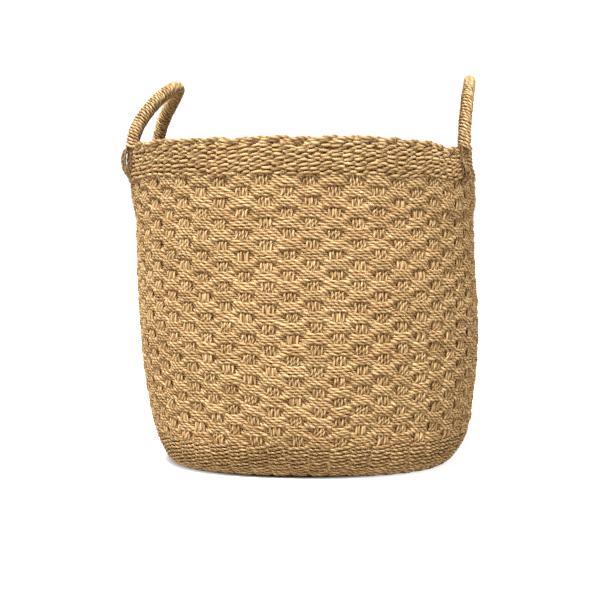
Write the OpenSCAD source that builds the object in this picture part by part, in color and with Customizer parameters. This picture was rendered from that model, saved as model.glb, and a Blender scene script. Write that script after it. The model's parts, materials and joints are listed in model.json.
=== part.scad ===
// Round seagrass storage basket: woven wall, twined rim, heel and base, two hinged rope handles.
// Millimetres, +Z up. The origin is on the floor at the centre of the base.
// The stakes are the upright strands. The weft bands run round them.

/* [Basket] */
// Height of the basket from the floor to the top of the rim border
basket_h = 360; // [360:1:375]
// Outer radius of the wall under the rim
wall_r = 197; // [194:0.5:202]
// Radius of the flat part of the base
base_r = 151; // [149:0.5:153]
// Thickness of the twined base mat
base_t = 6.4; // [5:0.2:7]

/* [Heel] */
// Radius of the bend at the foot of the wall
heel_bend = 24; // [23:1:26]
// Angle that the wall turns through in that bend
heel_turn = 60; // [58:1:62]
// Radius of the flatter bend above it
lower_bend = 112; // [106:1:116]
// Angle of the flatter bend
lower_turn = 20.6; // [19:0.2:21.4]

/* [Weave] */
// Number of upright stakes
stakes_n = 50; // [50:1:50]
// Width of a stake, which is four cords side by side
stake_w = 13; // [11:0.5:13]
// Thickness of a stake
stake_t = 3; // [2.6:0.1:3.2]
// Number of weft bands
bands_n = 26; // [20:1:26]
// Height of one weft band with its gap
band_pitch = 11; // [10.6:0.1:11]
// Cords in a weft band
band_cords = 4; // [4:1:4]
// Radius of a cord as it is pressed into the weave
cord_r = 1.5; // [1.45:0.05:1.5]
// Number of twined rows round the heel
heel_rows_n = 12; // [10:1:12]
// Spacing of the heel rows
heel_pitch = 4.3; // [4:0.1:4.3]

/* [Rim] */
// Number of twined rows in the rim
rim_rows_n = 7; // [5:1:7]
// Height of one rim row with its gap
rim_pitch = 4.7; // [4.6:0.05:4.7]
// Radius of a strand of the rim's twining
rim_strand_r = 2.1; // [1.9:0.05:2.1]
// How far the rim stands out from the wall
rim_bulge = 1.3; // [0.5:0.1:1.5]
// Height of the border on top of the rim
border_h = 5.1; // [4:0.1:5.5]

/* [Handles] */
// Distance of the hinge axes from the middle of the basket
hinge_x = 184; // [183:0.5:185]
// Radius of the handle's arch, which is half the spacing of its legs
arch_r = 70; // [70:0.5:72]
// Radius of the handle over its wrapping
handle_r = 7.5; // [7:0.1:8]
// Radius of the rope core inside the wrapping
core_r = 5; // [4.5:0.1:5]
// Angle by which the left handle leans in over the basket at rest
left_lean = 33.5; // [0:0.5:45]
// Angle by which the right handle leans out at rest
right_lean = 6; // [0:0.5:20]

/* [Hidden] */
// Gap left between separate pieces
gap = 0.4;
$fn = 64;

heel_rows = [for (i = [1 : heel_rows_n]) str("heel_row_", i)];
weft_bands = [for (i = [1 : bands_n]) str("weft_band_", i)];
rim_rows = [for (i = [1 : rim_rows_n]) str("rim_row_", i)];

// Colours of dry seagrass
straw = [0.80, 0.66, 0.42];
dry_grass = [0.73, 0.58, 0.36];
dark_grass = [0.58, 0.45, 0.27];

// The outline of the wall: flat floor, heel bend, lower bend, upper bend, then straight up.
// A point is [radius, height], and a slope is the angle from level.
function bend_step(r, from, to) = r * [sin(to) - sin(from), cos(from) - cos(to)];
slope_1 = heel_turn;
slope_2 = heel_turn + lower_turn;
heel_end = [base_r, 0] + bend_step(heel_bend, 0, slope_1);
lower_end = heel_end + bend_step(lower_bend, slope_1, slope_2);
upper_bend = (wall_r - lower_end[0]) / (1 - sin(slope_2));
upper_end = lower_end + bend_step(upper_bend, slope_2, 90);
deg = PI / 180;
heel_s = heel_bend * slope_1 * deg;
lower_s = heel_s + lower_bend * lower_turn * deg;
upper_s = lower_s + upper_bend * (90 - slope_2) * deg;

// Slope of the wall at a length s along it, counted from the edge of the flat base
function slope_at(s) =
    s < 0 ? 0 :
    s < heel_s ? s / heel_bend / deg :
    s < lower_s ? slope_1 + (s - heel_s) / lower_bend / deg :
    s < upper_s ? slope_2 + (s - lower_s) / upper_bend / deg : 90;
function surface_at(s) =
    s < 0 ? [base_r + s, 0] :
    s < heel_s ? [base_r, 0] + bend_step(heel_bend, 0, slope_at(s)) :
    s < lower_s ? heel_end + bend_step(lower_bend, slope_1, slope_at(s)) :
    s < upper_s ? lower_end + bend_step(upper_bend, slope_2, slope_at(s)) :
    upper_end + [0, s - upper_s];
// A point at a depth under the outer surface
function wall_point(s, depth) = surface_at(s) + depth * [-sin(slope_at(s)), cos(slope_at(s))];

// Depths of the layers under the outer surface
stake_depth = 2 * cord_r + 2 * gap;
border_z = basket_h - border_h;
rim_z = border_z - gap - rim_rows_n * rim_pitch;
stake_top_s = upper_s + border_z - gap - upper_end[1];
stake_foot_s = 1.5;
weft_top_s = upper_s + rim_z - upper_end[1];
weft_foot_s = weft_top_s - bands_n * band_pitch;
heel_foot_s = weft_foot_s - heel_rows_n * heel_pitch;
stake_line_r = wall_r - stake_depth - stake_t / 2;

// Spacing of the cords inside a band, so that they press together and the bands stay apart
cord_step = (band_pitch - gap - 2 * cord_r) / (band_cords - 1);
// Angle round a cord at which its face meets the next cord's
cord_meet = asin(cord_step / 2 / cord_r);

module ring(centre, r) rotate_extrude() translate(centre) circle(r = r);

module base_mat()
    color(dry_grass)
        cylinder(h = base_t, r = base_r, $fn = 128);

// One stake follows the wall from the edge of the base to the border.
stake_steps = concat(
    [stake_foot_s],
    [for (i = [1 : 8]) heel_s * i / 8],
    [for (i = [1 : 4]) heel_s + (lower_s - heel_s) * i / 4],
    [for (i = [1 : 5]) lower_s + (upper_s - lower_s) * i / 5],
    [stake_top_s]
);
stake_outline = concat(
    [for (s = stake_steps) wall_point(s, stake_depth)],
    [for (i = [len(stake_steps) - 1 : -1 : 0]) wall_point(stake_steps[i], stake_depth + stake_t)]
);
stake_angle = stake_w / stake_line_r / deg;
stake_pitch = 360 / stakes_n;

module stakes()
    color(straw)
        for (i = [0 : stakes_n - 1])
            rotate(i * stake_pitch + (stake_pitch - stake_angle) / 2)
                rotate_extrude(angle = stake_angle)
                    polygon(stake_outline);

// One twined row of the heel lies round the stakes.
module heel_row(i)
    color(dark_grass)
        ring(wall_point(heel_foot_s + (i - 0.5) * heel_pitch, cord_r), cord_r);

// One weft band is four cords pressed together, so each face of its section has four rounded lobes.
// A point on cord j lies at an angle from the outward direction, upward first.
function on_cord(i, j, angle) =
    wall_point(
        weft_foot_s + (i - 1) * band_pitch + gap / 2 + cord_r + j * cord_step + cord_r * sin(angle),
        cord_r - cord_r * cos(angle));
function lobes(i, cords, facing) =
    [for (j = cords, part = [-1, -1 / 3, 1 / 3]) on_cord(i, j, facing + part * cord_meet)];
module weft_band(i)
    color(dry_grass) {
        last = band_cords - 1;
        rotate_extrude()
            polygon(concat(
                [on_cord(i, 0, -90)],
                lobes(i, [0 : last], 0),
                [on_cord(i, last, cord_meet), on_cord(i, last, 90)],
                lobes(i, [last : -1 : 0], 180),
                [on_cord(i, 0, 180 + cord_meet)]
            ));
    }

// One rim row is a pair of strands, one outside the stakes and one inside.
rim_outer_r = wall_r + rim_bulge - rim_strand_r;
rim_inner_r = wall_r - stake_depth - stake_t - gap - rim_strand_r;
module rim_row(i)
    color(dry_grass) {
        z = rim_z + (i - 0.5) * rim_pitch;
        ring([rim_outer_r, z], rim_strand_r);
        ring([rim_inner_r, z], rim_strand_r);
    }

// The four places where the handles' ropes go down into the rim, between two stakes
root_angle = 3 * stake_pitch;
root_w = 9.6;
root_t = stake_t;
root_foot_z = rim_z + 4;
module at_root(side, end)
    rotate(side > 0 ? end * root_angle : 180 - end * root_angle) children();

// The border is a band with rounded edges, and a slot for each rope.
border_in = rim_inner_r - rim_strand_r;
border_out = rim_outer_r + rim_strand_r;
border_edge = 1.6;
module rim_border()
    color(straw)
        difference() {
            rotate_extrude()
                polygon([
                    [border_in + border_edge, border_z],
                    [border_out - border_edge, border_z],
                    [border_out, border_z + border_edge],
                    [border_out, basket_h - border_edge],
                    [border_out - border_edge, basket_h],
                    [border_in + border_edge, basket_h],
                    [border_in, basket_h - border_edge],
                    [border_in, border_z + border_edge]
                ]);
            for (side = [-1, 1], end = [-1, 1])
                at_root(side, end)
                    translate([stake_line_r, 0, basket_h])
                        cube([root_t + 2 * gap, root_w + 2 * gap, 3 * border_h], center = true);
        }

// A root is the end of a handle's rope: a flat tongue in the rim, and a collar on the border.
collar_h = 2;
collar_z = basket_h + gap;
module handle_roots(side)
    color(dark_grass)
        for (end = [-1, 1]) {
            at_root(side, end)
                translate([stake_line_r - root_t / 2, -root_w / 2, root_foot_z])
                    cube([root_t, root_w, collar_z + collar_h / 2 - root_foot_z]);
            translate([side * hinge_x, end * arch_r, collar_z])
                cylinder(h = collar_h, r = handle_r);
        }

// A lashing is three upright cords on the outside of the rim at a root.
lashing_r = 1.7;
lashing_edge = 0.8;
lashing_n = 3;
lashing_step = 3;
lashing_foot_z = rim_z + 3;
lashing_top_z = border_z - 2;
module lashing_cord()
    rotate_extrude()
        polygon([
            [0, lashing_foot_z],
            [lashing_r - lashing_edge, lashing_foot_z],
            [lashing_r, lashing_foot_z + lashing_edge],
            [lashing_r, lashing_top_z - lashing_edge],
            [lashing_r - lashing_edge, lashing_top_z],
            [0, lashing_top_z]
        ]);
module lashings(side)
    color(dark_grass)
        for (end = [-1, 1])
            at_root(side, end)
                for (k = [0 : lashing_n - 1])
                    translate([border_out + gap + lashing_r, (k - (lashing_n - 1) / 2) * lashing_step, 0])
                        lashing_cord();

// The handles turn about axes along Y through the balls at the ends of their cores.
ball_r = handle_r - 0.3;
hinge_z = collar_z + collar_h + gap + ball_r;
wrap_gap = 0.4;
wrap_start = 5;
module on_hinge(side)
    translate([side * hinge_x, 0, hinge_z])
        rotate([0, side > 0 ? right_lean : left_lean, 0])
            rotate([90, 0, 90]) children();
module handle_core(side)
    color(straw)
        on_hinge(side) {
            rotate_extrude(angle = 180) translate([arch_r, 0]) circle(r = core_r);
            for (end = [-1, 1]) translate([end * arch_r, 0, 0]) sphere(r = ball_r);
        }
module handle_wrap(side)
    color(dark_grass)
        on_hinge(side)
            rotate(wrap_start)
                rotate_extrude(angle = 180 - 2 * wrap_start)
                    translate([arch_r, 0])
                        difference() {
                            circle(r = handle_r);
                            circle(r = core_r + wrap_gap);
                        }

base_mat();
stakes();
for (i = [1 : heel_rows_n]) heel_row(i);
for (i = [1 : bands_n]) weft_band(i);
for (i = [1 : rim_rows_n]) rim_row(i);
rim_border();
handle_roots(-1);  // left_handle_roots
handle_roots(1);  // right_handle_roots
lashings(-1);  // left_lashings
lashings(1);  // right_lashings
handle_core(-1);  // left_handle_core
handle_wrap(-1);  // left_handle_wrap
handle_core(1);  // right_handle_core
handle_wrap(1);  // right_handle_wrap
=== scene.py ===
"""The looks of a round seagrass basket: every cord is a twisted two-ply tube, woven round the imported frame.

Lengths are metres. A place on the wall is an angle round the basket (phi), a length up the wall from its foot
(s), and a distance out from the middle of the weave (out).
"""

import json
import math

import bpy
import numpy as np
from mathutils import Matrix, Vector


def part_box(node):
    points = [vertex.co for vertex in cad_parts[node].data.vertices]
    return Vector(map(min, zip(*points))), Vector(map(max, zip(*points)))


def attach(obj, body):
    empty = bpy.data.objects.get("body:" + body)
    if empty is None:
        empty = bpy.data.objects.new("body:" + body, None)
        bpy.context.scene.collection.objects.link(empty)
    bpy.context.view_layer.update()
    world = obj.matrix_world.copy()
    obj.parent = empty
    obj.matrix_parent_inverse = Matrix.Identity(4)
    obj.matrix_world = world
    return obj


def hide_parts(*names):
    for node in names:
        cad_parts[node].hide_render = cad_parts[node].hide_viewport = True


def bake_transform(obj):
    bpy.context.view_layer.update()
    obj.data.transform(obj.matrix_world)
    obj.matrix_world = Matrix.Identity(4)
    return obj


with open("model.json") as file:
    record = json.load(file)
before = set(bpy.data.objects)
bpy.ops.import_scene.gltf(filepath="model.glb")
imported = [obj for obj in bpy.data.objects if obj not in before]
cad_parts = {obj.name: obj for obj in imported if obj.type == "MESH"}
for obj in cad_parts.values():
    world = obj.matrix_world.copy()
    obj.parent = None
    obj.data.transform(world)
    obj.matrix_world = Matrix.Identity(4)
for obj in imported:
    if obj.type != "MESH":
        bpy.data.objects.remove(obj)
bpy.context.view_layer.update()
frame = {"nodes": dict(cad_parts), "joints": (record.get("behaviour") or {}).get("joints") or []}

MM = 0.001
TURN = 2 * math.pi

# ---------------------------------------------------------------- measures taken from the frame

HEEL_ROWS = sum(name.startswith("heel_row_") for name in frame["nodes"])
BANDS = sum(name.startswith("weft_band_") for name in frame["nodes"])
RIM_ROWS = sum(name.startswith("rim_row_") for name in frame["nodes"])
# The stakes are one node, so that their count is given here
STAKES = 50
STAKE_TURN = TURN / STAKES


def ring(node):
    """Radius and height of the middle of a ring-shaped node's section."""
    mesh = frame["nodes"][node].data
    co = np.empty(3 * len(mesh.vertices), np.float32)
    mesh.vertices.foreach_get("co", co)
    co = co.reshape(-1, 3).astype(float)
    r = np.hypot(co[:, 0], co[:, 1])
    return (r.min() + r.max()) / 2, (co[:, 2].min() + co[:, 2].max()) / 2


heel = [ring(f"heel_row_{i + 1}") for i in range(HEEL_ROWS)]
bands = [ring(f"weft_band_{i + 1}") for i in range(BANDS)]
rims = [ring(f"rim_row_{i + 1}") for i in range(RIM_ROWS)]
border_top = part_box("rim_border")[1].z
mat_r, mat_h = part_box("base_mat")[1].x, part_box("base_mat")[1].z
hinges = {joint["child"]: joint for joint in frame["joints"]}

# ---------------------------------------------------------------- the wall


def smooth(x):
    """Goes from 0 to 1 smoothly as x does."""
    x = np.clip(x, 0, 1)
    return x * x * (3 - 2 * x)


def softened(values, width):
    """The same values, each averaged with those round it. The width is a count of values, and odd."""
    window = np.hanning(width) / np.hanning(width).sum()
    return np.convolve(np.pad(values, width // 2, "edge"), window, "valid")


# The outline goes through the rings' middles, from one row under the heel, and is upright over the last band
upright_r = bands[-1][0]
centres = np.array(heel + bands + [(upright_r, z) for _, z in rims] + [(upright_r, border_top)])
centres = np.vstack([centres[0] - (centres[1] - centres[0]), centres])
lengths = np.concatenate([[0], np.cumsum(np.linalg.norm(np.diff(centres, axis=0), axis=1))])
lengths -= lengths[1] - (lengths[2] - lengths[1]) / 2
HEEL_S = lengths[1:1 + HEEL_ROWS]
BAND_S = lengths[1 + HEEL_ROWS:1 + HEEL_ROWS + BANDS]
RIM_S = lengths[1 + HEEL_ROWS + BANDS:-1]
TOP_S = lengths[-1]
BAND_PITCH = BAND_S[1] - BAND_S[0]
# The rings of the frame lie this far outside the middle of the real weave
WEAVE_DEPTH = 1.95 * MM

# The same outline at every millimetre, with its outward normal
fine_s = np.arange(lengths[0], TOP_S, MM)
fine_r = np.interp(fine_s, lengths, centres[:, 0])
fine_z = np.interp(fine_s, lengths, centres[:, 1])
rise_r, rise_z = (softened(np.gradient(v), 13) for v in (fine_r, fine_z))
rise = np.hypot(rise_r, rise_z)
normal_r, normal_z = rise_z / rise, -rise_r / rise
fine_r, fine_z = fine_r - WEAVE_DEPTH * normal_r, fine_z - WEAVE_DEPTH * normal_z


def random_field(seed, around, up, size, waves=14):
    """A smooth random height over the wall, with up to `around` waves round it and `up` per metre up it."""
    rng = np.random.default_rng(seed)
    n = rng.integers(1, around + 1, waves)
    m = rng.uniform(-up, up, waves) * TURN
    shift = rng.uniform(0, TURN, waves)

    def field(phi, s):
        total = 0
        for k in range(waves):
            total = total + np.cos(n[k] * phi + m[k] * s + shift[k])
        return size * total / math.sqrt(waves / 2)

    return field


# How the hand-woven rows wander up and down, the stakes sideways, and the wall in and out
rows_wander = random_field(3, 22, 9, 0.75 * MM)
stakes_wander = random_field(4, 26, 14, 0.7 * MM)
wall_dents = random_field(5, 9, 9, 0.7 * MM)
# The rows and the wall wander less toward the foot, and fully from this length up the wall
FREE_FROM = 70 * MM

# The basket leans to +X at the foot and to -X at the rim: (height, shift) in mm
LEAN = [(0, 6.5), (20, 7.6), (45, 7.2), (70, 6.2), (110, 4.4), (165, 2.3), (205, 0.4), (250, -1.2),
        (295, -2.6), (325, -5), (360, -7), (500, -7)]
# The two sides stand out a little, most under the rim: (height, how far) in mm
SIDE_SWELL = [(0, 0), (10, 1.0), (25, 2.0), (45, 1.8), (85, 1.2), (210, 0.8), (282, 0.3), (300, 3.4),
              (326, 3.4), (340, 0), (500, 0)]
LEVELS = np.arange(0, 0.5, MM)


def by_level(knots, width):
    """What (height, value) knots in mm say at each of the levels, softened over a width in mm."""
    return softened(np.interp(LEVELS, *(np.array(knots).T * MM)), width)


lean = by_level(LEAN, 31)
side_swell = by_level(SIDE_SWELL, 11)

# The foot is a little square, with its corners toward the diagonals, and a little wider than the frame's
SQUARENESS = 0.042
FOOT_GROWTH = 0.01
SQUARE_UP_TO = 60 * MM
# The lowest cords are lifted by this, so that they rest on the floor
FOOT_LIFT = 0.5 * MM
LIFT_UP_TO = 20 * MM


def settled(points):
    """Points of the upright round basket, as its lean, its square foot and its swollen sides move them."""
    x, y, z = points[..., 0], points[..., 1], points[..., 2]
    r = np.hypot(x, y)
    corner = FOOT_GROWTH - SQUARENESS * np.cos(4 * np.arctan2(y, x))
    grow = 1 + corner * np.minimum(r / mat_r, 1) ** 2 * (1 - smooth(z / SQUARE_UP_TO))
    swell = np.interp(z, LEVELS, side_swell) * (x / np.maximum(r, MM)) ** 3
    lift = FOOT_LIFT * (1 - smooth(z / LIFT_UP_TO))
    return np.stack([x * grow + swell + np.interp(z, LEVELS, lean), y * grow, z + lift], -1)


# The rim dips beside the near foot of the right handle
DIP_AT, DIP_WIDTH = math.radians(-25), math.radians(13)
DIP_DEPTH, DIP_BELOW = 5 * MM, 32 * MM


def rim_dip(phi, s):
    """How far down the wall a place lies because of the dip in the rim."""
    away = (phi - DIP_AT + math.pi) % TURN - math.pi
    return DIP_DEPTH * np.exp(-(away / DIP_WIDTH) ** 2) * smooth((s - TOP_S + DIP_BELOW) / DIP_BELOW)


def wall(phi, s, out, sideways=0):
    """(points, outward normals) on the wall. Over the top of the outline it goes straight up."""
    free = smooth(s / FREE_FROM)
    s_here = s + free * rows_wander(phi, s) - rim_dip(phi, s)
    out = out + free * wall_dents(phi, s)
    r = np.interp(s_here, fine_s, fine_r)
    n_r = np.interp(s_here, fine_s, normal_r)
    n_z = np.interp(s_here, fine_s, normal_z)
    phi = phi + sideways / r
    beyond = np.maximum(s_here - fine_s[-1], 0)
    r = r + out * n_r
    z = np.interp(s_here, fine_s, fine_z) + out * n_z + beyond
    cos, sin = np.cos(phi), np.sin(phi)
    points = np.stack([r * cos, r * sin, z + 0 * phi], -1)
    normals = np.stack([n_r * cos, n_r * sin, n_z + 0 * phi], -1)
    return settled(points), normals


def on_wall(ways):
    """(paths, outward normals) of cords on the wall. Each way is what wall() is told for one cord."""
    paths, normals = zip(*(wall(*way) for way in ways))
    return np.array(paths), np.array(normals)


# ---------------------------------------------------------------- cords

# A weft cord's radius, the length in which its plies turn once, and the step between the rings of its mesh
CORD_R = 1.78 * MM
LAY = 16 * MM
STEP = 1.7 * MM
# The lay of the thin cords
FINE_LAY = 12 * MM
# How much the lay and the radius vary from cord to cord, as a part, and how uneven the twist is, in turns
LAY_SPREAD = 0.12
RADIUS_SPREAD = 0.05
TWIST_WAVES, TWIST_UNEVEN = (5, 11, 23), 0.1
NEST_UNEVEN = 0.06
# A cord is narrowed to this part of its radius at its ends
END_TAPER = 0.55

# The outline of two plies twisted together: ridges at 1 and creases between them
SECTION = np.array([1, 0.9, 0.68, 0.9, 1, 0.9, 0.68, 0.9])
ROUND_SECTION = 0.45 + 0.55 * SECTION
# How deep in a crease each side of that outline lies, which sets how much painted shade it gets, and which of
# the two plies it belongs to
CREASE = np.array([0, 0.3, 0.85, 0.3, 0, 0.3, 0.85, 0.3])
PLY = np.array([1, 1, 0, -1, -1, -1, 0, 1])
SIDES = len(SECTION)
SIDE_ANGLES = np.arange(SIDES) * TURN / SIDES
# How much painted shade darkens a cord on its flanks, where its neighbours touch it, and how far round it the
# flanks reach
TOUCH_SHADE, TOUCH_REACH = 0.95, 0.65

# How much the tone differs from cord to cord and along a cord, and the same between the two plies of a cord
CORD_TONES, TONE_WAVES_MM, TONE_WAVE = 0.8, (4.3, 9.1, 21, 47), 0.42
PLY_TONES, PLY_WAVE_LENGTH, PLY_WAVE = 0.3, 13 * MM, 0.16
# Each cord starts somewhere else in the noise that gives its streaks, up to this far along
TEXTURE_SHIFT = 3

# In texture space a cord is cut into strips of this many quads, with a gap between two strips
UV_ROW = 128
UV_GAP = 0.04


def unit(v):
    """Vectors of length 1."""
    return v / np.linalg.norm(v, axis=-1, keepdims=True)


def square_to(along, outward):
    """Two directions square to a line and to each other, the first as near to outward as it can be."""
    normal = unit(outward - along * (outward * along).sum(-1, keepdims=True))
    return normal, np.cross(along, normal)


class Piece:
    """A bundle of twisted cords that becomes one mesh."""

    def __init__(self, name, seed):
        self.name = name
        self.rng = np.random.default_rng(seed)
        self.points, self.quads, self.strips = [], [], []
        self.values = {"crease": [], "tint": [], "fibre": []}
        self.count = 0

    def add(self, path, outward, radius=CORD_R, lay=LAY, closed=False, tint=0.0, section=SECTION,
            nested=False):
        """Adds cords: path and outward are (cords, rings, 3), and radius is a number or (cords, rings).

        The ridges of nested cords lie in the creases of their neighbours.
        """
        cords, rings = path.shape[:2]
        radius = np.broadcast_to(radius, (cords, rings)).copy()
        ahead, behind = np.roll(path, -1, 1), np.roll(path, 1, 1)
        steps = np.linalg.norm(ahead - path, axis=-1)
        if not closed:
            ahead[:, -1], behind[:, 0] = path[:, -1], path[:, 0]
            steps[:, -1] = 0
            radius[:, [0, -1]] *= END_TAPER
        normal, side = square_to(unit(ahead - behind), outward)
        travelled = np.cumsum(steps, 1) - steps
        twist = self.twist(travelled, steps.sum(1, keepdims=True), lay, closed, nested)
        angle = twist[..., None] + SIDE_ANGLES
        reach = radius[..., None] * section
        points = (path[:, :, None, :] + (reach * np.cos(angle))[..., None] * normal[:, :, None, :]
                  + (reach * np.sin(angle))[..., None] * side[:, :, None, :])
        self.points.append(points.reshape(-1, 3))
        self.skin(cords, rings, closed)
        self.colour(travelled, angle, reach, tint)

    def twist(self, travelled, total, lay, closed, nested):
        """The angle of the plies at each ring of the cords."""
        cords, part = len(travelled), travelled / total
        spread = self.rng.uniform(1 - LAY_SPREAD, 1 + LAY_SPREAD, (1 if nested else cords, 1))
        turns = total.mean() / (lay * spread)
        if closed:
            turns = np.maximum(np.round(turns), 1)
        start = self.rng.random((cords, 1))
        if nested:
            start = self.rng.random() + np.arange(cords)[:, None] / 4 + NEST_UNEVEN * (start - 0.5)
        uneven = sum(np.sin(TURN * (n * part + self.rng.random())) for n in TWIST_WAVES)
        return TURN * (turns * part + start + TWIST_UNEVEN * uneven)

    def skin(self, cords, rings, closed):
        """Adds the faces of the cords that were added last, and each face's strip in texture space."""
        last = rings if closed else rings - 1
        c, i, j = np.meshgrid(np.arange(cords), np.arange(last), np.arange(SIDES), indexing="ij")
        low, high = (c * rings + i) * SIDES, (c * rings + (i + 1) % rings) * SIDES
        k = (j + 1) % SIDES
        quads = np.stack([low + j, high + j, high + k, low + k], -1).reshape(-1, 4)
        row, place = (c * (last // UV_ROW + 1) + i // UV_ROW).ravel(), (i % UV_ROW).ravel()
        self.strips.append(np.stack([row, place, j.ravel()], -1))
        if not closed:
            first = (np.arange(cords) * rings * SIDES)[:, None]
            cap = np.array([[3, 2, 1, 0], [7, 4, 3, 0], [7, 6, 5, 4]])
            caps = np.concatenate([(first[:, None] + cap).reshape(-1, 4),
                                   (first[:, None] + (rings - 1) * SIDES + cap[:, ::-1]).reshape(-1, 4)])
            quads = np.concatenate([quads, caps])
            self.strips.append(np.tile(np.array([[-1, 0, 0]]), (len(caps), 1)))
        self.quads.append(quads + self.count)
        self.count += cords * rings * SIDES

    def colour(self, travelled, angle, reach, tint):
        """Adds what the material reads at each point: tone, how much painted shade darkens the creases and
        flanks, and place in the cord.
        """
        cords = len(travelled)
        rand = self.rng.random((4, cords, 1))
        waves = [np.sin(travelled / (w * MM) + TURN * self.rng.random((cords, 1))) for w in TONE_WAVES_MM]
        tone = tint + CORD_TONES * (rand[0] - 0.5) + TONE_WAVE * (sum(waves) / 2)
        plies = PLY_TONES * (rand[1] - 0.5) + PLY_WAVE * np.sin(travelled / PLY_WAVE_LENGTH + TURN * rand[2])
        self.values["tint"].append((tone[..., None] + plies[..., None] * PLY).ravel())
        # Painted shade: the flanks where neighbours touch and the creases between the plies are marked darker
        flank = smooth(1 - np.abs(np.cos(angle)) / TOUCH_REACH)
        self.values["crease"].append((1 - (1 - CREASE) * (1 - TOUCH_SHADE * flank)).ravel())
        grain = np.stack(np.broadcast_arrays((travelled + TEXTURE_SHIFT * rand[3])[..., None],
                                             reach * np.cos(SIDE_ANGLES) + rand[0][..., None],
                                             reach * np.sin(SIDE_ANGLES)), -1)
        self.values["fibre"].append(grain.reshape(-1, 3))

    def build(self, material, body, slot, *nodes):
        """Makes the mesh, and lets it stand for the CAD nodes on that body."""
        mesh = bpy.data.meshes.new(self.name)
        points, quads = np.concatenate(self.points), np.concatenate(self.quads)
        mesh.vertices.add(len(points))
        mesh.vertices.foreach_set("co", points.astype(np.float32).ravel())
        mesh.loops.add(quads.size)
        mesh.loops.foreach_set("vertex_index", quads.astype(np.int32).ravel())
        mesh.polygons.add(len(quads))
        mesh.polygons.foreach_set("loop_start", np.arange(0, quads.size, 4, dtype=np.int32))
        for name, parts in self.values.items():
            kind, field = ("FLOAT_VECTOR", "vector") if name == "fibre" else ("FLOAT", "value")
            layer = mesh.attributes.new(name, kind, "POINT")
            layer.data.foreach_set(field, np.concatenate(parts).astype(np.float32).ravel())
        mesh.uv_layers.new(name="OFBake").data.foreach_set("uv", self.unrolled().astype(np.float32).ravel())
        mesh.update(calc_edges=True)
        mesh.shade_smooth()
        mesh.materials.append(material)
        obj = bpy.data.objects.new(self.name, mesh)
        bpy.context.scene.collection.objects.link(obj)
        if body:
            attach(obj, body)
        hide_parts(*nodes)
        return obj

    def unrolled(self):
        """Corners in texture space, where the strips of all cords lie side by side."""
        rows, base = [], 0
        for strip in self.strips:
            strip = strip.copy()
            if strip[0, 0] >= 0:
                strip[:, 0] += base
                base = strip[:, 0].max() + 1
            else:
                strip[:, 0] = base - 1
            rows.append(strip)
        row, place, j = np.concatenate(rows).T[..., None]
        u = (place + np.array([0, 1, 1, 0])) / UV_ROW
        v = (row + UV_GAP + (1 - 2 * UV_GAP) * (j + np.array([0, 0, 1, 1])) / SIDES) / base
        return np.stack([u, v], -1)


def rounds(r, longer):
    """Angles for a cord that goes once round at radius r and is that many times as long, for its waves."""
    return np.linspace(0, TURN, int(TURN * r * longer / STEP), endpoint=False)


def wobble(rng, phi, size, shortest=14 * MM, r=0.19, waves=8):
    """Small random waves along a cord that goes once round at about radius r."""
    most = int(TURN * r / shortest)
    n = rng.integers(3, most, waves)[:, None]
    return size * np.cos(n * phi + TURN * rng.random((waves, 1))).sum(0) / math.sqrt(waves / 2)


def flattened(wave, sharp):
    """A wave from -1 to 1 with flattened tops."""
    return np.tanh(sharp * wave) / math.tanh(sharp)


def ripple(rng, s, size, length):
    """A small wave along a cord that goes up the wall. It repeats in TURN lengths."""
    return size * np.sin(s / length + TURN * rng.random())


def at_stakes(values, x):
    """Values given per stake, smoothly between stakes. x counts stakes."""
    i = np.floor(x).astype(int)
    t = smooth(x - i)
    return values[i % STAKES] * (1 - t) + values[(i + 1) % STAKES] * t


def curve_through(knots, count):
    """A smooth curve through the knots (n, d), as count points. It is a Catmull-Rom spline."""
    knots = np.asarray(knots, float)
    padded = np.vstack([2 * knots[0] - knots[1], knots, 2 * knots[-1] - knots[-2]])
    t = np.linspace(0, len(knots) - 1, count)
    i = np.minimum(t.astype(int), len(knots) - 2)
    u = (t - i)[:, None]
    a, b, c, d = (padded[i + n] for n in range(4))
    squared, cubed = (2 * a - 5 * b + 4 * c - d) * u ** 2, (3 * b - a - 3 * c + d) * u ** 3
    return 0.5 * (2 * b + (c - a) * u + squared + cubed)


def side_by_side(count):
    """Where cords lie from the middle of their row, in steps from one cord to the next."""
    return [n - (count - 1) / 2 for n in range(count)]


# ---------------------------------------------------------------- the wall's weave

# How far the weft swings out over a stake and in behind the next, and how much more its middle cords do
WEFT_CORDS, WEFT_SPACING = 4, 2.7 * MM
WEFT_OUT, WEFT_CROWN = 1.95 * MM, 0.3 * MM
# Where the cords cross between two stakes the outer ones are thicker by this part, which closes the gaps
WEFT_EDGE = 0.4
# How flat the tops of the cords' swings are
WEFT_SHARP, STAKE_SHARP, TWINE_SHARP, BORDER_SHARP = 2.2, 1.7, 1.6, 1.5
# How much a band's place, stand and width vary from stake to stake, and how loose it is at a crossing
BAND_SHIFT, BAND_PUFF = 0.3 * MM, 0.3 * MM
BAND_WIDTH, BAND_WIDTH_SPREAD = 1.02, 0.04
CROSSING_LOOSE = 0.3
# How much each cord of a row wobbles out and in
CORD_WOBBLE = 0.14 * MM
# The stakes swing the other way by this much, and in the rim their two pairs move apart by this much each
STAKE_CORDS, STAKE_SPACING, STAKE_CORD_R = 4, 3.4 * MM, 1.85 * MM
STAKE_OUT, STAKE_PARTING = 1.2 * MM, 3 * MM
STAKE_GROUPS = 5


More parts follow.
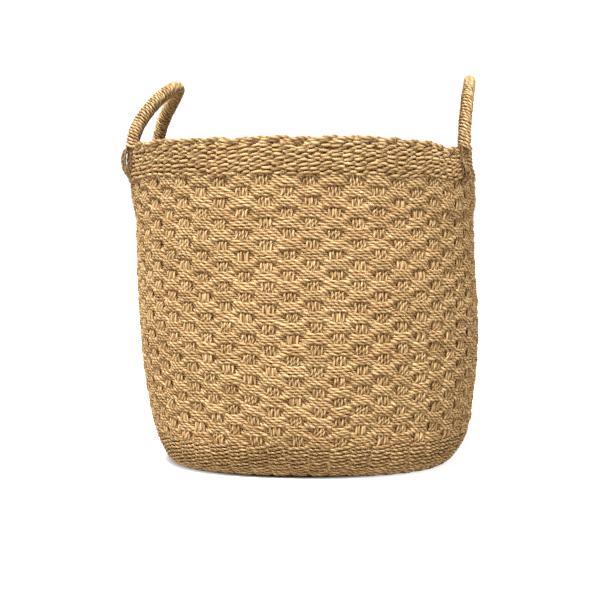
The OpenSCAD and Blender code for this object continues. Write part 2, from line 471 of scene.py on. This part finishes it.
def weft_band(k):
    """Band k, counted from 1 at the foot: four cords that pass outside every second stake."""
    piece = Piece(f"weft_cords_{k}", 100 + k)
    rng = piece.rng
    s = BAND_S[k - 1]
    r = np.interp(s, fine_s, fine_r)
    phi = rounds(r, 1.03)
    x = (phi - stakes_wander(phi, s) / r) / STAKE_TURN - 0.5
    over = flattened(np.cos(math.pi * (x + k + 1)), WEFT_SHARP)
    loose = CROSSING_LOOSE + (1 - CROSSING_LOOSE) * np.abs(over)
    shift = at_stakes(rng.normal(0, BAND_SHIFT, STAKES), x)
    width = BAND_WIDTH + at_stakes(rng.normal(0, BAND_WIDTH_SPREAD, STAKES), x)
    puff = at_stakes(rng.normal(0, BAND_PUFF, STAKES), x)
    ways = []
    for across in side_by_side(WEFT_CORDS):
        up = across * WEFT_SPACING * width + loose * (shift + wobble(rng, phi, 0.24 * MM))
        crown = WEFT_CROWN * (1.25 - across ** 2) * np.maximum(over, 0)
        out = WEFT_OUT * over + puff * np.abs(over) + crown + wobble(rng, phi, CORD_WOBBLE)
        ways.append((phi, s + up, out))
    edge = np.array([[1], [0], [0], [1]]) * WEFT_EDGE * (1 - over ** 8)
    radius = CORD_R * (1 + RADIUS_SPREAD * rng.normal(size=(WEFT_CORDS, 1)) + edge)
    piece.add(*on_wall(ways), radius, LAY, True, nested=True)
    return piece.build(grass["weft_grass"], "basket", "weft_grass", f"weft_band_{k}")


def stakes(group):
    """A fifth of the stakes: each is four upright cords, which part into two pairs in the rim."""
    piece = Piece(f"stake_cords_{group + 1}", 200 + group)
    rng = piece.rng
    foot, top = 1 * MM, RIM_S[-1] + 3.5 * MM
    s = np.linspace(foot, top, int((top - foot) / STEP))
    # They swing out and in among the bands only, and part over the last one
    in_bands = smooth((s - BAND_S[0] + 11 * MM) / (8 * MM)) * smooth((BAND_S[-1] + 9 * MM - s) / (6 * MM))
    apart = smooth((s - BAND_S[-1] - 4 * MM) / (9 * MM))
    band = 1 + (s - BAND_S[0]) / BAND_PITCH
    narrow = np.interp(s, fine_s, fine_r) / fine_r[-1]
    each = STAKES // STAKE_GROUPS
    for i in range(group * each, (group + 1) * each):
        phi = np.full_like(s, (i + 0.5) * STAKE_TURN)
        over = flattened(np.cos(math.pi * (band + i)), STAKE_SHARP)
        sway = stakes_wander(phi, s)
        spread = 1 + ripple(rng, s, 0.05, 9 * MM) + 0.05 * rng.normal()
        ways = []
        for across in side_by_side(STAKE_CORDS):
            pair = STAKE_PARTING * np.sign(across) * apart
            sideways = across * STAKE_SPACING * spread * narrow ** 0.7 + pair + sway
            sideways = sideways + ripple(rng, s, 0.16 * MM, 5 * MM)
            out = STAKE_OUT * over * in_bands + ripple(rng, s, 0.12 * MM, 4 * MM)
            ways.append((phi, s, out, sideways))
        radius = STAKE_CORD_R * (1 + RADIUS_SPREAD * rng.normal(size=(STAKE_CORDS, 1)))
        piece.add(*on_wall(ways), radius, nested=True)
    return piece.build(grass["stake_grass"], "basket", "stake_grass", "stakes")


# ---------------------------------------------------------------- heel, rim and base


def twined_row(piece, s, crossings, radius, out, lift, lay, bulge=0.0, uneven=1.0):
    """Two strands round the wall that change places, from outside to inside, at every one of the crossings.

    They swing out and in by `out` and up and down by `lift`, round a line that stands out by `bulge`.
    """
    rng = piece.rng
    phi = rounds(np.interp(s, fine_s, fine_r), 1.04)
    turn = math.pi * (phi * crossings / TURN - 0.5)
    sag = wobble(rng, phi, 0.3 * MM, 30 * MM)
    ways = []
    for strand in range(2):
        a = turn + math.pi * strand + wobble(rng, phi, 0.25 * (uneven - 1), 40 * MM)
        up = lift * np.sin(a) + sag + wobble(rng, phi, 0.16 * uneven * MM)
        stand = bulge + out * flattened(np.cos(a), TWINE_SHARP) + wobble(rng, phi, CORD_WOBBLE)
        ways.append((phi, s + up, stand))
    piece.add(*on_wall(ways), radius, lay, True)


def heel_row(i):
    """Row i of the heel, from 0 at the foot. The lowest ones are flatter, where the wall meets the base."""
    piece = Piece(f"heel_twining_{i + 1}", 300 + i)
    full = smooth(i / 3)
    twined_row(piece, HEEL_S[i], crossings=STAKES, radius=1.85 * MM, out=(1.75 + 0.45 * full) * MM,
               lift=0.95 * MM * (0.5 + 0.5 * full), lay=14 * MM)
    return piece.build(grass["twined_grass"], "basket", "twined_grass", f"heel_row_{i + 1}")


def rim_row(i):
    """Row i of the rim, from 0 at the weft. The rim bulges out over the wall, fully from its third row on."""
    piece = Piece(f"rim_twining_{i + 1}", 400 + i)
    twined_row(piece, RIM_S[i], crossings=2 * STAKES, radius=2.3 * MM, out=2.6 * MM, lift=1.15 * MM,
               lay=24 * MM, bulge=1.3 * MM * smooth((i + 0.6) / 2), uneven=1.9)
    return piece.build(grass["twined_grass"], "basket", "twined_grass", f"rim_row_{i + 1}")


# The border's middle lies this far under the top of the frame's
BORDER_UNDER = 1.9 * MM
BORDER_CORD_R, BORDER_LAY = 2.3 * MM, 17 * MM
BORDER_OUT, BORDER_SWING, BORDER_LIFT = 1.1 * MM, 2.7 * MM, 1.5 * MM
# The cords of a pair lie one over the other, and lean out and in by this angle as the pairs twist
PAIR_HIGH, PAIR_DEEP, PAIR_ROLL = 1.75 * MM, 1.4 * MM, 0.9


def rim_border():
    """A thick edge: two pairs of cords that twist round each other once for every two stakes."""
    piece = Piece("border_twist", 500)
    rng = piece.rng
    phi = rounds(fine_r[-1], 1.05)
    turn = math.pi * phi * STAKES / TURN
    sag = wobble(rng, phi, 0.45 * MM, 26 * MM)
    ways = []
    for strand in range(2):
        a = turn + math.pi * strand + wobble(rng, phi, 0.25, 40 * MM)
        roll = PAIR_ROLL * np.sin(a + 0.6)
        for cord in (-1, 1):
            up = BORDER_LIFT * np.sin(a) + sag + cord * PAIR_HIGH * np.cos(roll) + wobble(rng, phi, 0.2 * MM)
            swing = BORDER_SWING * flattened(np.cos(a), BORDER_SHARP)
            out = BORDER_OUT + swing + cord * PAIR_DEEP * np.sin(roll) + wobble(rng, phi, 0.2 * MM)
            ways.append((phi, TOP_S - BORDER_UNDER + up, out))
    piece.add(*on_wall(ways), BORDER_CORD_R, BORDER_LAY, True)
    return piece.build(grass["twined_grass"], "basket", "twined_grass", "rim_border")


# The base's rows are twined from near its edge in to its hole
BASE_EDGE, BASE_HOLE, BASE_PITCH = 1.6 * MM, 7 * MM, 4.4 * MM
BASE_ROW_R, BASE_SPOKE_R = 1.6 * MM, 1.4 * MM
BASE_SWING, BASE_PARTING = 1.25 * MM, 0.6 * MM
# Its spokes: how many there are, and from where to where they reach
SPOKES = [(12, 3 * MM, 31 * MM), (24, 28 * MM, 67 * MM), (STAKES, 64 * MM, mat_r - 2 * MM)]


def spokes_at(r):
    """How many spokes a row of the base is twined round at radius r."""
    return next((count for count, _, stop in SPOKES if r < stop - MM), STAKES)


def base_mat():
    """Rows twined round spokes, from the edge of the base to its middle."""
    piece = Piece("base_twining", 600)
    rng = piece.rng
    middle = mat_h / 2
    for row_r in np.arange(mat_r - BASE_EDGE, BASE_HOLE, -BASE_PITCH):
        phi = rounds(row_r, 1.04)
        turn = math.pi * phi * spokes_at(row_r) / TURN
        paths = []
        for strand in range(2):
            a = turn + math.pi * strand
            r = row_r + BASE_PARTING * np.sin(a) + wobble(rng, phi, 0.15 * MM, r=max(row_r, 20 * MM))
            z = middle + BASE_SWING * flattened(np.cos(a), BORDER_SHARP)
            paths.append(np.stack([r * np.cos(phi), r * np.sin(phi), z], -1))
        paths = np.array(paths)
        piece.add(settled(paths), np.broadcast_to([0.0, 0.0, 1.0], paths.shape), BASE_ROW_R, FINE_LAY, True)
    for count, start, stop in SPOKES:
        r = np.linspace(start, stop, int((stop - start) / (2 * MM)))
        for i in range(count):
            phi = (i + 0.5) * TURN / count
            path = np.stack([r * math.cos(phi), r * math.sin(phi), middle + 0 * r], -1)[None]
            piece.add(settled(path), np.broadcast_to([0.0, 0.0, 1.0], path.shape), BASE_SPOKE_R)
    return piece.build(grass["twined_grass"], "basket", "twined_grass", "base_mat")


# ---------------------------------------------------------------- handles

# How each handle differs from its stiff arch in the frame.
# side: which way along X its outside faces. radius: of the wrapped rope.
# foot: how much further to +X it stands. reach: how much further to +X its top leans from there.
# wide: how much further apart its feet lie, on each side. tall: how much higher it stands.
# bend: the higher, the nearer to its top it bows over.
# square: under 1 is a squarer arch than a half circle, and over 1 a more pointed one.
# tilt: how far each loop of the wrapping slants along the rope. push: how far the near leg bows to +X.
HANDLES = {
    "left_handle": {"side": -1, "radius": 8.2 * MM, "foot": -6.0 * MM, "wide": 5.7 * MM, "tall": 4.6 * MM,
                    "reach": -1.2 * MM, "bend": 2.12, "square": 1.3, "tilt": 0.8 * MM, "push": 3.0 * MM},
    "right_handle": {"side": 1, "radius": 6.6 * MM, "foot": -0.6 * MM, "wide": 2.3 * MM, "tall": -1.4 * MM,
                     "reach": -1.7 * MM, "bend": 2.3, "square": 0.87, "tilt": -1.6 * MM, "push": 0.8 * MM},
}
# The frame's arches are this wide from their middle to the middle of the rope
ARCH_R = 70 * MM
WRAP_R = (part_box("left_handle_wrap")[1].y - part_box("left_handle_wrap")[0].y) / 2 - ARCH_R
# An arch starts this far under its hinge, and its rope goes on down for the second length
FOOT_DROP, ROPE_END = 10 * MM, 8 * MM
ARCH_KNOTS = 17
LINE_STEP = 0.25 * MM

# The rope inside a handle: its cords wind round its middle line once in this length
ROPE_CORDS, ROPE_CORD_R, ROPE_CORD_OUT, ROPE_TURN = 5, 1.9 * MM, 2.7 * MM, 40 * MM
# The cord wound round it stops this far from the rope's ends
WRAP_CORD_R, WRAP_LAY, WRAP_PITCH, WRAP_SHORT = 1.7 * MM, 13 * MM, 3.5 * MM, 5 * MM
WRAP_STEP = 1.6 * MM
# How much its loops vary: their pitch as a part of the mean one, their slant, and how far they stand out
LOOP_PITCHES, LOOP_SLANT, LOOP_STAND = (0.82, 1.18), 0.45 * MM, 0.25 * MM


def hinge_place(body):
    """x and z of a handle's hinge, which lies along Y."""
    return hinges[body]["pos_m"][0], hinges[body]["pos_m"][2]


def handle_knots(body):
    """Points along the middle of a handle, from its near foot to its far one."""
    shape = HANDLES[body]
    x, z = hinge_place(body)
    wrap_low, wrap_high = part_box(f"{body}_wrap")
    half = (wrap_high.y - wrap_low.y) / 2 - WRAP_R + shape["wide"]
    tall = wrap_high.z - WRAP_R - z + FOOT_DROP + shape["tall"]
    reach = wrap_high.x - WRAP_R - x + shape["reach"]
    foot, low = x + shape["foot"], z - FOOT_DROP
    knots = [(foot, -half, low - ROPE_END)]
    for a in np.linspace(0, math.pi, ARCH_KNOTS):
        h = math.sin(a) ** shape["square"]
        push = shape["push"] * math.sin(2 * a) ** 2 if a < math.pi / 2 else 0
        knots.append((foot + reach * h ** shape["bend"] + push, -half * math.cos(a), low + h * tall))
    knots.append((foot, half, low - ROPE_END))
    return np.array(knots)


def at_lengths(wanted, lengths_along, vectors):
    """Vectors at the wanted lengths along a line, from those at other lengths along it."""
    return np.stack([np.interp(wanted, lengths_along, vectors[:, c]) for c in range(3)], -1)


def evenly(knots, step):
    """Points a step apart on the smooth curve through the knots, and how far along it each lies."""
    fine = curve_through(knots, 40 * len(knots))
    gone = np.concatenate([[0], np.cumsum(np.linalg.norm(np.diff(fine, axis=0), axis=1))])
    at = np.linspace(0, gone[-1], int(gone[-1] / step) + 1)
    return at_lengths(at, gone, fine), at


def handle_rope(body, line, at, normal, side):
    """The cords of the rope inside a handle, which wind round its middle line."""
    piece = Piece(f"{body}_rope", 700 + HANDLES[body]["side"])
    paths = []
    for n in range(ROPE_CORDS):
        a = (at / ROPE_TURN * TURN + n * TURN / ROPE_CORDS)[:, None]
        paths.append(line + ROPE_CORD_OUT * (np.cos(a) * normal + np.sin(a) * side))
    outward = np.broadcast_to([float(HANDLES[body]["side"]), 0.0, 0.0], (ROPE_CORDS, *line.shape))
    piece.add(np.array(paths), outward, ROPE_CORD_R, FINE_LAY, tint=-0.4)
    return piece.build(grass["core_rope"], None, "core_rope", f"{body}_core")


def handle_wrapping(body, line, at, normal, side):
    """The one long cord that is wound round a handle's rope, with loops that are a little uneven."""
    shape = HANDLES[body]
    piece = Piece(f"{body}_wrapping", 710 + shape["side"])
    rng = piece.rng
    start, stop = WRAP_SHORT, at[-1] - WRAP_SHORT
    loops = int((stop - start) / WRAP_PITCH)
    turn = np.linspace(0, TURN * loops, int(loops * TURN * shape["radius"] / WRAP_STEP))

    def each_loop(values):
        """Values given per loop, all along the cord."""
        return np.interp(turn / TURN, np.arange(loops + 2), values)

    starts = np.cumsum(rng.uniform(*LOOP_PITCHES, loops + 2))
    starts = (starts - starts[0]) / (starts[loops] - starts[0])
    place = start + (stop - start) * each_loop(starts)
    place = place + each_loop(rng.normal(shape["tilt"], LOOP_SLANT, loops + 2)) * np.cos(turn)
    radial = shape["radius"] - WRAP_CORD_R + each_loop(rng.normal(0, LOOP_STAND, loops + 2))
    centre, normal, side = (at_lengths(place, at, vectors) for vectors in (line, normal, side))
    arm = np.cos(turn)[:, None] * normal - np.sin(turn)[:, None] * side
    path = (centre + radial[:, None] * arm)[None]
    piece.add(path, arm[None], WRAP_CORD_R, WRAP_LAY, section=ROUND_SECTION)
    return piece.build(grass["wrapping_grass"], None, "wrapping_grass", f"{body}_wrap")


def handle(body):
    """A rope and the cord that is wound round it."""
    line, at = evenly(handle_knots(body), LINE_STEP)
    outward = np.broadcast_to([float(HANDLES[body]["side"]), 0.0, 0.0], line.shape)
    normal, side = square_to(unit(np.gradient(line, axis=0)), outward)
    rope = handle_rope(body, line[::8], at[::8], normal[::8], side[::8])
    wrapping = handle_wrapping(body, line, at, normal, side)
    for obj in (rope, wrapping):
        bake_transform(obj)


# A handle's feet lie this many stakes to each side of its middle
FOOT_STAKES = 3
ROOT_CORDS, ROOT_SPACING, ROOT_CORD_R, ROOT_OUT = 4, 2.7 * MM, 1.6 * MM, 0.6 * MM
LASHING_SPACING_MM, LASHING_CORD_R = 3.3, 1.95 * MM
# How far a lashing cord strays sideways on its way down, and how much its stand varies
LASHING_DRIFT_MM, LASHING_UNEVEN_MM = 1.2, 0.3
# A lashing cord's way from a handle's foot, over the outside of the rim and into the wall under it.
# Each knot is: down from the top of the rim and out in mm, then how far apart the cords lie.
LASHING_KNOTS = {
    -1: [(-5, 3, 0.6), (0, 8.5, 0.7), (5, 12.5, 0.9), (12, 14.8, 1.0), (19, 15, 1.0), (25, 13, 1.0),
         (30, 9.5, 0.9), (35, 5, 0.9), (39, 1, 0.8), (42, -2, 0.8)],
    1: [(-6, 8, 0.7), (0, 8.4, 0.8), (8, 8.6, 0.9), (17, 9.6, 1.1), (26, 11.5, 1.2), (33, 11.5, 1.2),
        (39, 7, 1.1), (44, 2, 1.0), (47, -1, 0.8)],
}
# How far each of the cords at a foot stands out, as a part of the way above
LASHING_REACH = (1.0, 0.58, 0.87, 0.46)
SIDE_NAMES = {-1: "left", 1: "right"}


def foot_angle(side, end):
    """Angle round the basket of a handle's foot: the near one has end -1, and the far one 1."""
    angle = FOOT_STAKES * STAKE_TURN * end
    return angle if side > 0 else math.pi - angle


def roots(side):
    """The handle's rope ends, which go down through the rim between two stakes."""
    name = SIDE_NAMES[side]
    piece = Piece(f"{name}_rope_ends", 720 + side)
    s = np.linspace(RIM_S[1], TOP_S + 3 * MM, 24)
    narrow = 1 - 0.25 * smooth((s - s[0]) / (s[-1] - s[0]))
    for end in (-1, 1):
        phi = np.full_like(s, foot_angle(side, end))
        for across in side_by_side(ROOT_CORDS):
            way = (phi, s, ROOT_OUT, across * ROOT_SPACING * narrow)
            piece.add(*on_wall([way]), ROOT_CORD_R, FINE_LAY, tint=-0.3)
    return piece.build(grass["wrapping_grass"], "basket", "wrapping_grass", f"{name}_handle_roots")


def lashings(side):
    """Cords that go over the rim at a handle's foot and into the wall under it."""
    name = SIDE_NAMES[side]
    piece = Piece(f"{name}_lashing_cords", 730 + side)
    rng = piece.rng
    down, stand, wide = curve_through(LASHING_KNOTS[side], 34).T
    s = TOP_S - down * MM
    for end in (-1, 1):
        phi = np.full_like(s, foot_angle(side, end))
        for across, part in zip(side_by_side(len(LASHING_REACH)), LASHING_REACH):
            drift = rng.normal(0, LASHING_DRIFT_MM) * smooth(down / 40)
            out = stand * part + rng.normal(0, LASHING_UNEVEN_MM)
            way = (phi, s, out * MM, (across * LASHING_SPACING_MM * wide + drift) * MM)
            piece.add(*on_wall([way]), LASHING_CORD_R, FINE_LAY, tint=-0.4)
    return piece.build(grass["lashing_grass"], "basket", "lashing_grass", f"{name}_lashings")


# ---------------------------------------------------------------- materials

# The grass from its darkest tone to its palest: (tone, sRGB colour)
GRASS_TONES = [(0.0, (104, 74, 42)), (0.28, (168, 131, 84)), (0.55, (214, 178, 126)), (0.78, (239, 208, 158)),
               (1.0, (252, 236, 194))]
# The dark brown of the painted shade in the creases and where cords touch
CREASE_SHADE_COLOUR = (98, 64, 32)
# Patches of the grass are a little greener or a little redder
GREENER, REDDER = (0.975, 1.0, 0.94, 1), (1.02, 0.995, 0.99, 1)
PATCH_SCALE, PATCH_CONTRAST = 45, 3.0
# The streaks run along the plies: they are 1 / STREAK_SQUEEZE as long as wide
STREAK_SCALE, STREAK_SQUEEZE = 1500, 0.09
# How much the streaks and the cords' own tints change the tone, and the tone they change
STREAK_TONE, TINT_TONE, MIDDLE_TONE = 0.95, 0.2, 0.52
# The roughness where there is no streak, and how much less it is where the streak is full
ROUGH, STREAK_GLOSS = 0.92, 0.3
FIBRE_BUMP, FIBRE_DEPTH = 0.5, 0.25 * MM
SHINE = 0.3


def linear(red, green, blue):
    """An sRGB colour of 0 to 255 as the shader's linear colour."""
    parts = [v / 255 for v in (red, green, blue)]
    return [v / 12.92 if v <= 0.04045 else ((v + 0.055) / 1.055) ** 2.4 for v in parts] + [1]


class Shader:
    """A material's node tree, with short ways to add nodes and link them."""

    def __init__(self, name):
        self.material = bpy.data.materials.new(name)
        self.material.use_nodes = True
        self.nodes, self.links = self.material.node_tree.nodes, self.material.node_tree.links
        self.bsdf = self.nodes["Principled BSDF"]

    def put(self, value, socket):
        """Links an output to a socket, or sets the socket to a value."""
        if isinstance(value, bpy.types.NodeSocket):
            self.links.new(value, socket)
        else:
            socket.default_value = value

    def node(self, kind, inputs, **settings):
        """A new node, with its inputs by name or number."""
        new = self.nodes.new(kind)
        for key, value in settings.items():
            setattr(new, key, value)
        for key, value in inputs.items():
            self.put(value, new.inputs[key])
        return new

    def attribute(self, name, output):
        """What the cords' meshes say under that name."""
        return self.node("ShaderNodeAttribute", {}, attribute_name=name).outputs[output]

    def noise(self, place, **inputs):
        """Noise from 0 to 1 at a place."""
        return self.node("ShaderNodeTexNoise", {"Vector": place, **inputs}).outputs["Fac"]

    def maths(self, operation, a, b, clamp=False):
        """A sum of two values, or another operation on them."""
        return self.node("ShaderNodeMath", {0: a, 1: b}, operation=operation, use_clamp=clamp).outputs[0]

    def mixed(self, blend, part, a, b):
        """Colour a with a part of colour b blended in."""
        inputs = {0: part, 6: a, 7: b}
        return self.node("ShaderNodeMix", inputs, data_type="RGBA", blend_type=blend).outputs[2]


def seagrass(name, shade=1.0, dark=0.95):
    """Dry twisted seagrass: streaks along the plies, a tone per cord, and painted shade that darkens the
    creases and flanks by `dark`.
    """
    shader = Shader(name)
    maths = shader.maths
    fibre = shader.attribute("fibre", "Vector")
    along = shader.node("ShaderNodeMapping", {"Vector": fibre, "Scale": (STREAK_SQUEEZE, 1, 1)}).outputs[0]
    streak = shader.noise(along, Scale=STREAK_SCALE, Detail=3, Roughness=0.65)

    streaked = maths("MULTIPLY", maths("SUBTRACT", streak, 0.5), STREAK_TONE)
    tinted = maths("MULTIPLY", shader.attribute("tint", "Fac"), TINT_TONE)
    ramp = shader.node("ShaderNodeValToRGB", {0: maths("ADD", maths("ADD", streaked, tinted), MIDDLE_TONE)})
    elements = ramp.color_ramp.elements
    while len(elements) < len(GRASS_TONES):
        elements.new(0.5)
    for element, (tone, colour) in zip(elements, GRASS_TONES):
        element.position = tone
        element.color = [c * shade for c in linear(*colour)[:3]] + [1]

    patch = maths("SUBTRACT", shader.noise(fibre, Scale=PATCH_SCALE, Detail=1), 0.5)
    redness = maths("ADD", maths("MULTIPLY", patch, PATCH_CONTRAST), 0.5, clamp=True)
    hued = shader.mixed("MULTIPLY", 1.0, ramp.outputs["Color"], shader.mixed("MIX", redness, GREENER, REDDER))
    # Painted shade: the creases and the touching flanks are darkened toward that dark brown
    creased = maths("MULTIPLY", maths("POWER", shader.attribute("crease", "Fac"), 1.1), dark, clamp=True)
    painted_crease_shade = shader.mixed("MULTIPLY", creased, hued, linear(*CREASE_SHADE_COLOUR))
    shader.put(painted_crease_shade, shader.bsdf.inputs["Base Color"])

    shader.put(maths("ADD", maths("MULTIPLY", streak, -STREAK_GLOSS), ROUGH), shader.bsdf.inputs["Roughness"])
    bump = shader.node("ShaderNodeBump", {"Strength": FIBRE_BUMP, "Distance": FIBRE_DEPTH, "Height": streak})
    shader.put(bump.outputs[0], shader.bsdf.inputs["Normal"])
    shader.put(SHINE, shader.bsdf.inputs["Specular IOR Level"])
    return shader.material


grass = {
    "weft_grass": seagrass("weft_grass"),
    "stake_grass": seagrass("stake_grass", 0.97),
    "twined_grass": seagrass("twined_grass", 0.96, 1.0),
    "wrapping_grass": seagrass("wrapping_grass", 1.0),
    "core_rope": seagrass("core_rope", 0.7),
    "lashing_grass": seagrass("lashing_grass", 0.62),
}

# ---------------------------------------------------------------- the basket

base_mat()
for row in range(HEEL_ROWS):
    heel_row(row)
for band in range(1, BANDS + 1):
    weft_band(band)
for group in range(STAKE_GROUPS):
    stakes(group)
for row in range(RIM_ROWS):
    rim_row(row)
rim_border()
for side in SIDE_NAMES:
    roots(side)
    lashings(side)
for body in HANDLES:
    handle(body)

# ---------------------------------------------------------------- floor, light and camera

FLOOR_R, FLOOR_CORNERS = 40, 64
FLOOR_COLOUR = (0.66, 0.635, 0.59, 1)
# To the camera the floor also glows with painted light, from nothing at the first of these distances to its
# full glow at the second, so that it is white but for the shadow under the basket: real shade that the fading
# glow turns into a painted contact shadow
GLOW_FROM, GLOW_TO, GLOW = 0.97 * mat_r, 1.14 * mat_r, 0.9
AMBIENT, AMBIENT_COLOUR = 0.22, (1, 0.94, 0.85, 1)
BACKDROP = 1.2


def seen_or_not(nodes, links, seen, unseen):
    """One shader for what the camera sees, and another for all the light that falls elsewhere."""
    rays = nodes.new("ShaderNodeLightPath")
    mix = nodes.new("ShaderNodeMixShader")
    links.new(rays.outputs["Is Camera Ray"], mix.inputs[0])
    links.new(unseen.outputs[0], mix.inputs[1])
    links.new(seen.outputs[0], mix.inputs[2])
    return mix.outputs[0]


def white_floor():
    """A pale disc under the basket, with painted light that only the camera sees."""
    mesh = bpy.data.meshes.new("studio_floor")
    angles = np.linspace(0, TURN, FLOOR_CORNERS, endpoint=False)
    corners = [(FLOOR_R * math.cos(a), FLOOR_R * math.sin(a), 0) for a in angles]
    mesh.from_pydata(corners, [], [list(range(FLOOR_CORNERS))])
    floor = bpy.data.objects.new("studio_floor", mesh)
    bpy.context.scene.collection.objects.link(floor)
    paint = Shader("studio_white")
    paint.put(FLOOR_COLOUR, paint.bsdf.inputs["Base Color"])
    paint.put(0.9, paint.bsdf.inputs["Roughness"])
    paint.put(0.0, paint.bsdf.inputs["Specular IOR Level"])
    # Painted light to the camera only: it whitens the floor's shadows, and its fade toward the basket paints
    # a dark contact shadow round the foot
    place = paint.node("ShaderNodeNewGeometry", {}).outputs["Position"]
    away = paint.node("ShaderNodeVectorMath", {0: place}, operation="LENGTH").outputs["Value"]
    reach = {"Value": away, "From Min": GLOW_FROM, "From Max": GLOW_TO, "To Min": 0.0, "To Max": GLOW}
    grow = paint.node("ShaderNodeMapRange", reach, interpolation_type="SMOOTHSTEP")
    glow = paint.node("ShaderNodeEmission", {"Strength": grow.outputs["Result"]})
    dark = paint.node("ShaderNodeEmission", {"Strength": 0.0})
    glowing = seen_or_not(paint.nodes, paint.links, glow, dark)
    both = paint.node("ShaderNodeAddShader", {0: paint.bsdf.outputs[0], 1: glowing})
    paint.put(both.outputs[0], paint.nodes["Material Output"].inputs["Surface"])
    mesh.materials.append(paint.material)


def white_world():
    """Weak warm light from all round, in front of a backdrop that the camera sees as white."""
    world = bpy.data.worlds.new("studio")
    world.use_nodes = True
    nodes, links = world.node_tree.nodes, world.node_tree.links
    lit, white = nodes["Background"], nodes.new("ShaderNodeBackground")
    for node, colour, strength in ((lit, AMBIENT_COLOUR, AMBIENT), (white, (1, 1, 1, 1), BACKDROP)):
        node.inputs["Color"].default_value = colour
        node.inputs["Strength"].default_value = strength
    links.new(seen_or_not(nodes, links, white, lit), nodes["World Output"].inputs["Surface"])
    bpy.context.scene.world = world


def sun(name, toward, strength, soft):
    """A sun whose light comes from the direction `toward`, with an angle of `soft` degrees."""
    data = bpy.data.lights.new(name, "SUN")
    data.energy = strength
    data.angle = math.radians(soft)
    obj = bpy.data.objects.new(name, data)
    x, y, z = toward
    obj.rotation_euler = (math.atan2(math.hypot(x, y), z), 0, math.atan2(y, x) + math.pi / 2)
    bpy.context.scene.collection.objects.link(obj)


white_floor()
white_world()
sun("key", (-0.24, -0.88, 1.6), 7.15, 10)
sun("fill", (0.9, -0.8, 0.5), 0.3, 40)
bpy.context.scene.view_settings.view_transform = "Standard"

# The camera stands this far from the basket's axis, turned a little round it and a step to the left
DISTANCE = 1.68
CAMERA_Z = 0.2493
TURN_RIGHT, TILT_DOWN = math.radians(5.2), math.radians(2.2)
STEP_LEFT = 7 * MM
camera = bpy.data.objects.new("camera", bpy.data.cameras.new("camera"))
camera.data.lens = 86
camera.data.sensor_width = 36
camera.data.clip_end = 200
camera.location = (DISTANCE * math.sin(TURN_RIGHT) - STEP_LEFT * math.cos(TURN_RIGHT),
                   -DISTANCE * math.cos(TURN_RIGHT) - STEP_LEFT * math.sin(TURN_RIGHT), CAMERA_Z)
camera.rotation_euler = (math.pi / 2 - TILT_DOWN, 0, TURN_RIGHT)
bpy.context.scene.collection.objects.link(camera)
bpy.context.scene.camera = camera
